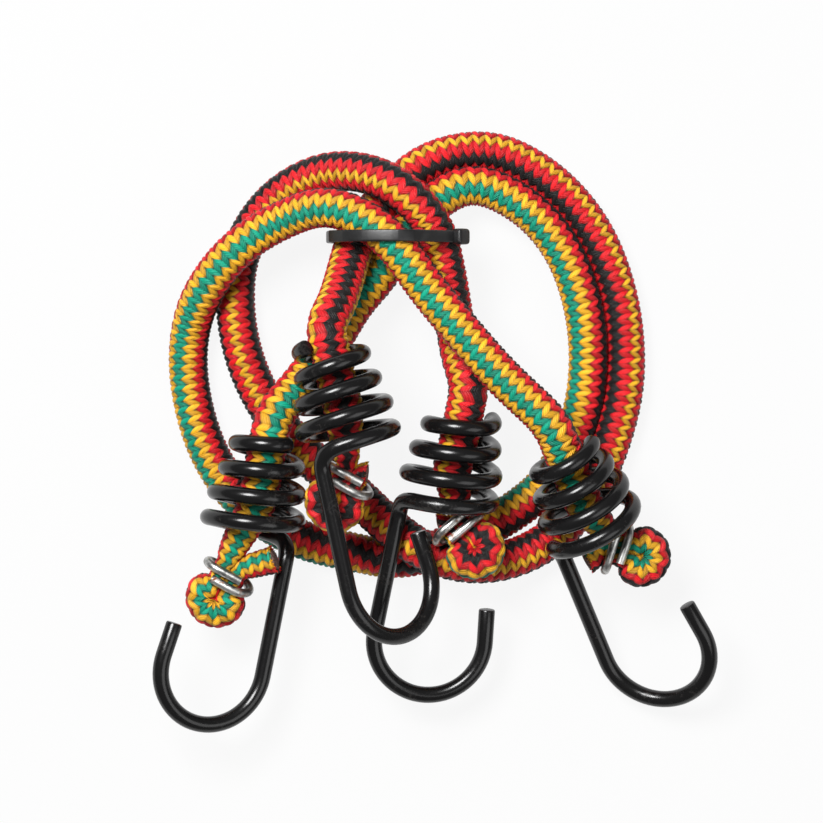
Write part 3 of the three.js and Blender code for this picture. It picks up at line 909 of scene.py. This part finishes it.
@dataclass(frozen=True)
class HookEnd:
    """One end of a cord: where its hook sits, how its tail runs, and how it is folded and crimped."""

    name: str
    body: str
    tail: float
    route: tuple[tuple[float, float, float], ...]
    strand: tuple[float, float, float]
    heading: tuple[float, float]
    dip: float
    roll: float
    shank_side: int
    coil_start: float
    ring: tuple[float, float, float]
    fold: tuple[float, float, float]
    side: int
    cut: tuple[float, float, float]
    twist: tuple[float, float, float]
    lead: float = 0.6
    approach: tuple[float, ...] = (3.0, 1.2)
    ring_hand: int = 1
    neck: float = 1.8
    fold_tube: float = 3.0
    leg_gap: float = 0.7
    pressed_in: float = 0.4
    swollen: float = 0.3
    neck_swell: float = 0.8
    cut_swell: float = 1.5
    neck_length: float = 4.6
    fold_reach: float = 5.2
    taper_start: float = 0.68
    narrowed: tuple[float, float] = (0.7, 0.5)
    eased: tuple[float, float, float] = (0.4, 0.75, 0.65)

    def place(self, hook: WireHook) -> Array:
        """Matrix from the hook's axes to the bundle's.

        Args:
            hook: the hook, whose first full turn sits on the strand point.

        Returns:
            A 4 by 4 matrix.
        """
        dip, roll = math.radians(self.dip), math.radians(self.roll)
        hx, hy = unit(np.array(self.heading))
        axis = np.array([hx * math.cos(dip), hy * math.cos(dip), -math.sin(dip)])
        lift = np.array([hx * math.sin(dip), hy * math.sin(dip), math.cos(dip)])
        across = self.shank_side * np.array([-hy, hx, 0.0])
        shank = across * math.cos(roll) + lift * math.sin(roll)
        matrix = np.eye(4)
        matrix[:3, 0], matrix[:3, 1], matrix[:3, 2] = shank, np.cross(axis, shank), axis
        matrix[:3, 3] = np.array(self.strand) - hook.first_strand * hook.pitch * axis
        return matrix

    def way_in(self, hook: WireHook) -> Array:
        """Points from the tail's route onto the coil's axis, up to the coil's mouth."""
        matrix = self.place(hook)
        backs = np.array([*self.approach, 0.0]) + self.lead
        return np.vstack([self.route, matrix[:3, 3] - backs[:, None] * matrix[:3, 2]])

    def crimp_axes(self) -> tuple[Array, Array, Array]:
        """Directions along the doubled end, across to its first leg, and out of their plane."""
        along = unit(np.array(self.fold))
        across = self.side * unit(np.array([-along[1], along[0], 0.0]))
        return along, across, self.side * unit(np.cross(along, across))

    def profile(self, hook: WireHook, radius: float) -> tuple[Path, list[tuple[float, float]]]:
        """The cord from the coil's narrow end through the crimp, round the fold and back to its cut.

        The legs are pressed into each other in the crimp and at the fold, and swell out of it quickly.

        Args:
            hook: the hook on this end.
            radius: the cord's full radius.

        Returns:
            The line, and keys of chosen-point number and radius.
        """
        matrix = self.place(hook)
        along, across, _ = self.crimp_axes()
        ring = np.array(self.ring)
        spread = self.neck + self.leg_gap / 2 - self.pressed_in
        wide = self.fold_tube + self.leg_gap / 2 - self.pressed_in
        neck, fold = self.neck + self.neck_swell * self.swollen, self.fold_tube + self.swollen
        stations = np.array([-self.lead, *(hook.coil_length * self.taper_start * np.array([0.5, 1.0]))])
        on_axis = matrix[:3, 3] + stations[:, None] * matrix[:3, 2]
        legs = np.array([(1, -1), (1, 1), (-1, 1), (-1, -1)]) * [spread, self.neck_length / 2]
        necks = ring + legs[:, :1] * across + legs[:, 1:] * along
        mid = on_axis[-1] + self.narrowed[0] * (necks[0] - on_axis[-1])
        turn = np.linspace(0.0, math.pi, 5)[:, None]
        arc = ring + self.fold_reach * along + wide * (np.cos(turn) * across + np.sin(turn) * along)
        back, out, end = self.cut
        cut = ring - out * across - back * along
        end += self.cut_swell * self.swollen
        before = radius + self.narrowed[1] * (neck - radius)
        gripped, bulged, opened = (
            start + share * (stop - start)
            for share, start, stop in zip(self.eased, (before, neck, neck), (neck, fold, end))
        )
        keys = [
            (0, radius), (2, radius), (3, before), (3.6, gripped), (4, neck), (5, neck), (5.5, bulged),
            (6, fold), (10, fold), (10.5, bulged), (11, neck), (12, neck), (12.35, opened), (13, end),
        ]
        return Path(np.vstack([on_axis, mid, necks[:2], arc, necks[2:], cut])), keys


@dataclass(frozen=True)
class CrimpRing:
    """Steel wire closed round both legs of a folded end, whose two ends pass each other on top."""

    wire: float = 0.9
    sides: int = 16
    turns: float = 1.06
    pitch: float = 2.4
    gap: float = 0.18
    steps_per_turn: int = 16
    smooth_steps: int = 4
    crease: float = 50.0

    def build(self, name: str, end: HookEnd) -> bpy.types.Object:
        """Wind the wire on a track with two round ends and two flats.

        Args:
            name: the piece's name.
            end: the cord end it grips.

        Returns:
            The ring.
        """
        along, across, lift = end.crimp_axes()
        turn = np.arange(round(self.turns * self.steps_per_turn) + 1) / self.steps_per_turn - self.turns / 2
        angle = 2 * math.pi * turn - math.pi / 2
        bend = end.neck + self.gap + self.wire
        spread = end.neck + end.leg_gap / 2
        x = np.sign(np.cos(angle)) * spread + bend * np.cos(angle)
        y = bend * np.sin(angle)
        z = end.ring_hand * self.pitch * turn
        track = np.outer(x, across) + np.outer(y, lift) + np.outer(z, along)
        path = Path(np.array(end.ring) + track, self.smooth_steps)
        where = np.linspace(0.0, path.length, len(path.points))
        angles = round_angles(len(where), self.sides)
        radii = np.full(angles.shape, self.wire)
        grid = tube_grid(path.at(where), path.ways(where), along, radii, angles)
        return add_mesh(name, capped(grid), *ring_faces(*grid.shape[:2]), self.crease)


@dataclass(frozen=True)
class CableTie:
    """A nylon strap drawn straight round the bundled strands, with its head on one side."""

    centre: tuple[float, float, float] = (-7.9, 39.0, 0.0)
    turn: float = 0.0
    width: float = 2.4
    thickness: float = 1.1
    gap: float = 0.3
    reach: float = 14.0
    sides: int = 144
    head_angle: float = 40.0
    head: tuple[float, float, float] = (3.4, 3.2, 2.5)
    head_grid: tuple[int, int] = (25, 36)
    head_corner: float = 0.4
    section_sides: int = 24
    section_corner: float = 0.35
    skin_step: float = 0.45
    skin_sides: int = 36
    crease: float = 35.0

    def axes(self) -> Array:
        """Rows: across the bundle, along the strands, up."""
        c, s = math.cos(self.turn), math.sin(self.turn)
        return np.array([[c, s, 0.0], [-s, c, 0.0], [0.0, 0.0, 1.0]])

    def strand_reach(self, cords: list[Path], radius: float, ways: Array) -> Array:
        """How far the strands' skin reaches from the tie's middle in each direction.

        Args:
            cords: the cords' lines.
            radius: their radius.
            ways: unit directions, across and up.

        Returns:
            The reach in each direction.
        """
        skins = []
        for cord in cords:
            where = np.arange(0.0, cord.length, self.skin_step)
            angles = round_angles(len(where), self.skin_sides)
            grid = tube_grid(cord.at(where), cord.ways(where), UP, np.full(angles.shape, radius), angles)
            skins.append((grid.reshape(-1, 3) - self.centre) @ self.axes().T)
        skin = np.vstack(skins)
        held = (np.abs(skin[:, 1]) < self.width / 2 + self.gap) & (np.abs(skin[:, 0]) < self.reach)
        return (skin[held][:, (0, 2)] @ ways.T).max(axis=0)

    def outline(self, reach: Array, ways: Array, offset: float) -> Array:
        """Points where neighbouring support lines meet, at an offset from the strands."""
        here, there = reach + offset, np.roll(reach, -1) + offset
        onward = np.roll(ways, -1, axis=0)
        turn = ways[:, 0] * onward[:, 1] - ways[:, 1] * onward[:, 0]
        x = (here * onward[:, 1] - there * ways[:, 1]) / turn
        y = (there * ways[:, 0] - here * onward[:, 0]) / turn
        return np.stack([x, y], axis=1)

    def build(self, name: str, cords: list[Path], radius: float) -> bpy.types.Object:
        """Carry a rounded strap section round the outline and set the head on it.

        Args:
            name: the piece's name.
            cords: the cords' lines.
            radius: their radius.

        Returns:
            The tie.
        """
        angle = 2 * math.pi * (np.arange(self.sides) + 0.5) / self.sides
        ways = np.stack([np.cos(angle), np.sin(angle)], axis=1)
        reach = self.strand_reach(cords, radius, ways)
        inner = self.outline(reach, ways, self.gap)
        outer = self.outline(reach, ways, self.gap + self.thickness)
        section = round_angles(1, self.section_sides)[0]
        deep = squared(np.cos(section), self.section_corner) / 2 + 0.5
        wide = squared(np.sin(section), self.section_corner) * self.width / 2
        flat = inner[:, None] + deep[None, :, None] * (outer - inner)[:, None]
        strap = np.stack([flat[..., 0], np.broadcast_to(wide, flat.shape[:2]), flat[..., 1]], axis=-1)
        rows, columns = strap.shape[:2]
        row = np.arange(rows)[:, None] * columns
        onward = (np.arange(rows)[:, None] + 1) % rows * columns
        column = np.arange(columns)[None]
        following = (column + 1) % columns
        quads = np.stack([row + column, row + following, onward + following, onward + column], axis=-1)
        index = round(math.radians(self.head_angle) / (2 * math.pi) * self.sides)
        head, head_quads = self.head_block(inner[index], ways[index])
        points = np.vstack([strap.reshape(-1, 3), head])
        faces = np.vstack([quads.reshape(-1, 4), head_quads + rows * columns])
        points = points @ self.axes() + self.centre
        return add_mesh(name, points, faces, np.zeros((0, 3), int), self.crease)

    def head_block(self, foot: Array, out: Array) -> tuple[Array, Array]:
        """The head as a superellipsoid on the strap: cos and sin raised to a small power.

        Args:
            foot: point on the strap's inner face, across and up.
            out: direction away from the strands.

        Returns:
            Points in the tie's axes, and quads with closed poles.
        """
        length, width, height = self.head
        rings, columns = self.head_grid
        u = round_angles(rings, columns)
        v = np.linspace(-math.pi / 2, math.pi / 2, rings)[:, None]
        level = squared(np.cos(v), self.head_corner)
        x = level * squared(np.cos(u), self.head_corner) * length / 2
        y = level * squared(np.sin(u), self.head_corner) * width / 2
        z = np.broadcast_to((squared(np.sin(v), self.head_corner) + 1) * height / 2, u.shape)
        side = np.array([out[1], -out[0]])
        flat = foot + x[..., None] * side + z[..., None] * out
        block = np.stack([flat[..., 0], y, flat[..., 1]], axis=-1)
        quads, _ = ring_faces(rings, columns)
        return block.reshape(-1, 3), quads[:, ::-1]


@dataclass(frozen=True)
class CutCore:
    """Rubber strands that stand out of a cut end: a short tube with a domed, uneven face."""

    share: float = 0.7
    sides: int = 40
    stand: tuple[float, ...] = (-1.5, 0.25, 0.45, 0.55, 0.6)
    shrink: tuple[float, ...] = (1.0, 1.0, 0.9, 0.6, 0.25)
    ripples: tuple[tuple[int, float, float], ...] = ((7, 0.05, 0.0), (3, 0.04, 1.0))
    crease: float = 60.0

    def build(self, name: str, path: Path, radius: float) -> bpy.types.Object:
        """Carry a dome out of the cut, with each ring rippled by cosines of its angle.

        Args:
            name: the piece's name.
            path: the end's line, whose last point is the cut.
            radius: the cord's radius at the cut.

        Returns:
            The core.
        """
        way = path.ways(np.array([path.length]))
        ways = np.repeat(way, len(self.stand), axis=0)
        angles = round_angles(len(self.stand), self.sides)
        wobble = 1 + sum(depth * np.cos(count * angles + start) for count, depth, start in self.ripples)
        radii = self.share * radius * np.array(self.shrink)[:, None] * wobble
        centres = path.points[-1] + np.array(self.stand)[:, None] * way
        grid = tube_grid(centres, ways, UP, radii, angles)
        return add_mesh(name, capped(grid), *ring_faces(*grid.shape[:2]), self.crease)


@dataclass
class ElasticCord:
    """One cord: its loop, its two tails, and the folded ends in its hooks."""

    name: str
    loop: tuple[tuple[float, float, float], ...]
    start: HookEnd
    stop: HookEnd
    twist: list[tuple[float, float]]
    settle: dict[int, tuple[float, float, float]]
    bend_reach: float = 3.6
    end_reach: float = 1.2
    path_points: int = 240
    braid: Braid = field(default_factory=Braid)
    hook: WireHook = field(default_factory=WireHook)
    line: Path | None = None

    def lay(self) -> None:
        """Lay the cord's line from coil to coil, settled against its neighbours and eased."""
        loop = np.array(self.loop)
        loop[list(self.settle)] += list(self.settle.values())
        self.line = Path(np.vstack([self.start.way_in(self.hook)[::-1], loop, self.stop.way_in(self.hook)]))
        self.line.ease(self.bend_reach, self.end_reach)
        LOG.info("%s: %.1f mm between its coils", self.name, self.line.length)

    def roll(self, where: Array) -> Array:
        """First stripe's angle at distances along the cord, in degrees."""
        return self.line.keyed(where, self.twist)

    def full(self, where: Array) -> Array:
        """The cord's radius where nothing squeezes it."""
        return np.full(len(where), self.braid.radius)

    def build_loop(self, look: bpy.types.Material) -> None:
        """Args:
            look: the braid's material.
        """
        span = (self.start.tail, self.line.length - self.stop.tail)
        piece = self.braid.build(f"{self.name}_loop_braid", self.line, span, self.roll, self.full, floor=0.0)
        dress(piece, look, (f"{self.name}_loop_sheath", f"{self.name}_loop_core"), "bundle")
        path = (self.line.at(np.linspace(*span, self.path_points)) + FRAME_SHIFT) * MM

    def build_tails(self, look: bpy.types.Material) -> None:
        """Braid the free tails.

        Args:
            look: the braid's material.
        """
        length = self.line.length
        for end, span, far in (
            (self.start, (0.0, self.start.tail), 0.0),
            (self.stop, (length - self.stop.tail, length), length),
        ):
            piece = self.braid.build(f"{end.name}_tail_braid", self.line, span, self.roll, self.full)
            held = end.body == "bundle"
            if not held:
                near = span[0] if far == span[1] else span[1]
                foot, mouth = (self.line.at(np.array([near, far])) + FRAME_SHIFT) * MM
                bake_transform(piece)
            solids = (f"{end.name}_tail_sheath", f"{end.name}_tail_core")
            dress(piece, look, solids, "bundle" if held else "")

    def build_ends(self, look: bpy.types.Material, rubber: bpy.types.Material) -> None:
        """Braid the folded ends and set the rubber in their cuts.

        Args:
            look: the braid's material.
            rubber: the core's material.
        """
        for end, hand in ((self.start, -1.0), (self.stop, 1.0)):
            path, keys = end.profile(self.hook, self.braid.radius)
            cut_radius = keys[-1][1]
            first = hand * float(self.roll(np.array([0.0 if hand < 0 else self.line.length]))[0])
            turns = [(0, first), (2, first), (5, end.twist[0]), (8, end.twist[1]), (13, end.twist[2])]
            piece = self.braid.build(
                f"{end.name}_folded_end_braid", path, (0.0, path.length),
                partial(path.keyed, keys=turns), partial(path.keyed, keys=keys),
                phase=0.0 if hand < 0 else self.line.length, hand=hand,
            )
            dress(piece, look, (f"{end.name}_folded_end_sheath",), end.body)
            loose = Fray().build(f"{end.name}_frayed_yarn", path, cut_radius, end.twist[-1], self.braid)
            dress(loose, look, body=end.body)
            plug = CutCore().build(f"{end.name}_cut_core", path, cut_radius)
            dress(plug, rubber, (f"{end.name}_folded_end_core",), end.body)

    def build_hooks(self, coat: bpy.types.Material, zinc: bpy.types.Material) -> None:
        """Make the two hooks and their crimp rings.

        Args:
            coat: the hooks' material.
            zinc: the rings' material.
        """
        for end in (self.start, self.stop):
            hook = self.hook.build(f"{end.name}_spring_hook", end.place(self.hook), end.coil_start)
            dress(hook, coat, (f"{end.name}_hook",), f"{end.name}_wire_hook")
            ring = CrimpRing().build(f"{end.name}_wire_ring", end)
            dress(ring, zinc, (f"{end.name}_crimp_ring",), end.body)


# The four ends and the chosen points of the two loops, in millimetres, as the solids have them.
LEFT = HookEnd(
    name="left", body="left_end", tail=30.0,
    route=((-15.8, 26.5, 10.2), (-20.4, 18.9, 12.0), (-25.0, 12.4, 14.6), (-28.8, 7.6, 17.2)),
    strand=(-33.8, -4.1, 19.3), heading=(-0.196, -0.981), dip=4.0, roll=-27.0, shank_side=1, coil_start=0.2,
    ring=(-41.4, -28.6, 15.8), fold=(-0.5, -0.866, -0.3), side=-1, cut=(7.75, 6.2, 2.4),
    twist=(0.0, 7.0, -25.0), ring_hand=-1,
)
RIGHT = HookEnd(
    name="right", body="right_end", tail=30.0, route=((12.4, 11.8, 25.0),),
    strand=(25.7, -5.1, 23.3), heading=(0.386, -0.922), dip=18.0, roll=-28.0, shank_side=-1, coil_start=0.45,
    ring=(35.9, -22.9, 16.3), fold=(0.94, -0.34, -0.15), side=1, cut=(4.65, 4.2, 2.4),
    twist=(390.0, 395.0, 400.0),
)
UPPER = HookEnd(
    name="upper", body="upper_end", tail=14.0, route=((-19.9, 25.2, 24.0),),
    strand=(-20.4, 13.8, 27.6), heading=(0.213, -0.977), dip=-1.0, roll=43.0, shank_side=-1, coil_start=0.0,
    ring=(-17.4, -9.2, 25.6), fold=(-0.5, -0.86, -0.2), side=-1, cut=(2.7, 2.4, 2.0),
    twist=(-108.0, -100.0, -108.0), ring_hand=-1,
)
MIDDLE = HookEnd(
    name="middle", body="bundle", tail=20.0, route=((3.8, 21.5, 14.0), (5.0, 14.5, 16.0)),
    strand=(5.2, 1.9, 17.9), heading=(-0.2, -0.98), dip=8.0, roll=9.0, shank_side=-1, coil_start=0.45,
    ring=(4.4, -19.0, 17.2), fold=(0.62, -0.77, 0.15), side=1, cut=(2.7, 2.4, 2.0),
    twist=(240.0, 267.0, 267.0),
)
LOOP_P = (
    (-12.2, 30.4, 9.6), (-6.9, 38.5, 9.3), (-0.4, 45.0, 7.6), (6.8, 48.7, 7.0), (17.0, 45.3, 6.6),
    (24.8, 37.0, 6.3), (29.1, 25.0, 5.9), (29.9, 11.5, 4.4), (27.4, 0.3, 3.2), (22.0, -9.5, 3.2),
    (13.8, -17.1, 3.2), (2.8, -22.5, 3.2), (-7.2, -25.5, 3.2), (-17.2, -24.0, 3.2),
    (-27.1, -21.6, 3.2), (-35.5, -17.0, 3.2), (-41.6, -10.8, 3.2), (-46.8, -1.5, 3.2),
    (-49.8, 11.5, 3.2), (-49.2, 21.5, 5.0), (-45.8, 29.5, 9.8), (-39.6, 36.9, 12.4),
    (-31.0, 42.3, 13.5), (-21.2, 44.6, 18.5), (-10.2, 39.3, 22.8), (-1.7, 28.4, 23.4),
    (2.7, 23.0, 23.8),
)
LOOP_Q = (
    (-18.0, 31.5, 18.6), (-16.5, 38.7, 13.4), (-11.3, 47.6, 5.9), (-1.8, 54.3, 4.4), (10.8, 56.7, 3.2),
    (22.1, 51.4, 3.2), (31.5, 40.9, 3.2), (37.0, 26.4, 3.2), (38.2, 11.5, 3.2), (35.9, -0.2, 3.2),
    (31.6, -10.5, 3.2), (24.8, -20.1, 3.2), (15.2, -25.4, 6.4), (5.8, -26.2, 10.3),
    (-2.2, -23.7, 11.7), (-9.2, -18.9, 8.5), (-16.8, -11.9, 4.5), (-26.2, -4.5, 3.2),
    (-33.6, 4.5, 3.2), (-38.4, 14.5, 3.2), (-40.4, 25.5, 3.2), (-39.2, 36.5, 3.2),
    (-32.6, 46.2, 3.2), (-23.2, 52.4, 7.0), (-13.2, 52.4, 13.7), (-5.8, 48.1, 17.6),
    (-0.4, 40.9, 16.0), (2.0, 32.1, 14.5),
)
# How far points of a loop settle against the next strand, where the solids keep a clearance.
SETTLE_P = {
    2: (-0.5, 0.6, 0.0), 3: (0.1, 1.1, 0.0), 4: (0.3, 0.4, 0.0), 5: (0.3, 0.2, 0.0), 6: (0.5, 0.1, 0.0),
    7: (0.7, 0.0, 0.0), 8: (0.8, -0.3, 0.0), 9: (0.7, -0.4, 0.0), 23: (0.0, 0.3, 0.0),
}
SETTLE_Q = {
    1: (0.6, 0.0, 0.0), 2: (1.1, -0.7, 0.0), 13: (0.0, 0.0, -0.1), 14: (0.0, 0.0, -0.25),
    15: (0.0, 0.0, -0.3), 22: (-0.3, 0.3, 0.0), 23: (0.0, -0.4, 0.0), 24: (0.0, -0.8, 0.0),
    25: (-0.2, -0.5, 0.0),
}
# Turn of the first stripe along each cord, in degrees, by the number of a chosen point.
TWIST_P = [
    (0, 12.0), (5, 0.0), (8, -8.0), (11, 22.0), (12, 32.0), (13, 37.0), (14, 47.0), (15, 48.0), (17, 62.0),
    (18, 140.0), (19, 220.0), (20, 268.0), (21, 282.0), (24, 314.0), (26, 335.0), (27, 350.0), (28, 361.0),
    (30, 373.0), (33, 376.0), (37, 378.0),
]
TWIST_Q = [
    (0, 120.0), (4, 125.0), (8, 142.0), (10, 147.0), (11, 138.0), (12, 150.0), (16, 155.0), (20, 165.0),
    (24, 170.0), (28, 200.0), (31, 205.0), (33, 214.0), (36, 214.0),
]


@dataclass(frozen=True)
class Lamp:
    """A square soft lamp that faces the bundle, in metres and watts."""

    name: str
    place: tuple[float, float, float]
    size: float
    power: float

    def hang(self) -> None:
        """Hang the lamp and turn it to the bundle."""
        data = bpy.data.lights.new(self.name, "AREA")
        data.size, data.energy = self.size, self.power
        lamp = bpy.data.objects.new(self.name, data)
        lamp.location = self.place
        aim = -np.array(self.place)
        flat = math.hypot(aim[0], aim[1])
        lamp.rotation_euler = (math.atan2(flat, -aim[2]), 0.0, math.atan2(aim[1], aim[0]) - math.pi / 2)
        bpy.context.scene.collection.objects.link(lamp)


@dataclass(frozen=True)
class Studio:
    """A pale table under soft light, and a camera that looks straight down."""

    view_width: float = 164.6
    view_centre: tuple[float, float] = (-4.919, 3.809)
    view_plane: float = 0.012
    camera_height: float = 1.2
    sensor: float = 36.0
    clip: tuple[float, float] = (0.05, 10.0)
    floor_size: float = 1.6
    floor_tone: float = 0.5
    floor_white: float = 0.9
    room_light: float = 0.18
    lamps: tuple[Lamp, ...] = (
        Lamp("soft_key", (-0.26, 0.32, 0.76), 0.34, 12.0),
        Lamp("soft_fill", (0.45, -0.25, 0.6), 0.5, 1.6),
    )

    def camera(self) -> None:
        """Make the camera and use it."""
        data = bpy.data.cameras.new("overhead_camera")
        data.sensor_width = self.sensor
        data.lens = self.sensor * (self.camera_height - self.view_plane) / (self.view_width * MM)
        data.clip_start, data.clip_end = self.clip
        camera = bpy.data.objects.new("overhead_camera", data)
        camera.location = (self.view_centre[0] * MM, self.view_centre[1] * MM, self.camera_height)
        bpy.context.scene.collection.objects.link(camera)
        bpy.context.scene.camera = camera

    def table(self) -> None:
        """Lay the pale table, which is white to the camera and still takes the bundle's shadow."""
        half = self.floor_size / 2 / MM
        corners = np.array([[-half, -half, 0], [half, -half, 0], [half, half, 0], [-half, half, 0.0]])
        face, none = np.array([[0, 1, 2, 3]]), np.zeros((0, 3), int)
        floor = add_mesh("table_top", corners - FRAME_SHIFT, face, none, crease=30.0)
        canvas = Canvas("pale_table")
        seen = canvas.node("ShaderNodeLightPath", {}, {}, "Is Camera Ray")
        glossy = canvas.node("ShaderNodeLightPath", {}, {}, "Is Glossy Ray")
        through = canvas.node("ShaderNodeLightPath", {}, {}, "Is Transmission Ray")
        paint = canvas.node("ShaderNodeBsdfDiffuse", {}, {"Color": (*3 * (self.floor_tone,), 1.0)})
        white = canvas.node("ShaderNodeEmission", {}, {"Color": (1.0, 1.0, 1.0, 1.0), "Strength": 1.0})
        share = (seen + glossy + through) * self.floor_white
        mixed = canvas.node("ShaderNodeMixShader", {}, {0: share, 1: paint, 2: white})
        canvas.tree.links.new(mixed.socket, canvas.output.inputs["Surface"])
        floor.data.materials.append(canvas.material)

    def light(self) -> None:
        """Hang the lamps and set the pale surroundings."""
        for lamp in self.lamps:
            lamp.hang()
        world = bpy.data.worlds.new("pale_room")
        world.use_nodes = True
        sky = world.node_tree.nodes["Background"]
        sky.inputs["Color"].default_value = (1.0, 1.0, 1.0, 1.0)
        sky.inputs["Strength"].default_value = self.room_light
        bpy.context.scene.world = world
        bpy.context.scene.view_settings.view_transform = "Standard"


def main() -> None:
    """Build the bundle over its frame."""
    logging.basicConfig(level=logging.INFO, format="%(name)s %(message)s")
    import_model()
    studio = Studio()
    studio.camera()
    cords = [
        ElasticCord("cord_p", LOOP_P, LEFT, RIGHT, TWIST_P, SETTLE_P),
        ElasticCord("cord_q", LOOP_Q, UPPER, MIDDLE, TWIST_Q, SETTLE_Q),
    ]
    yarn = BraidFinish().material(cords[0].braid.yarns)
    rubber, coat, zinc = RubberFinish().material(), CoatFinish().material(), ZincFinish().material()
    for cord in cords:
        cord.lay()
        cord.build_loop(yarn)
        cord.build_tails(yarn)
        cord.build_ends(yarn, rubber)
        cord.build_hooks(coat, zinc)
    tie = CableTie().build("strap_tie", [cord.line for cord in cords], cords[0].braid.radius)
    dress(tie, NylonFinish().material(), ("cable_tie",), "bundle")
    studio.table()
    studio.light()


if __name__ == "__main__":
    main()
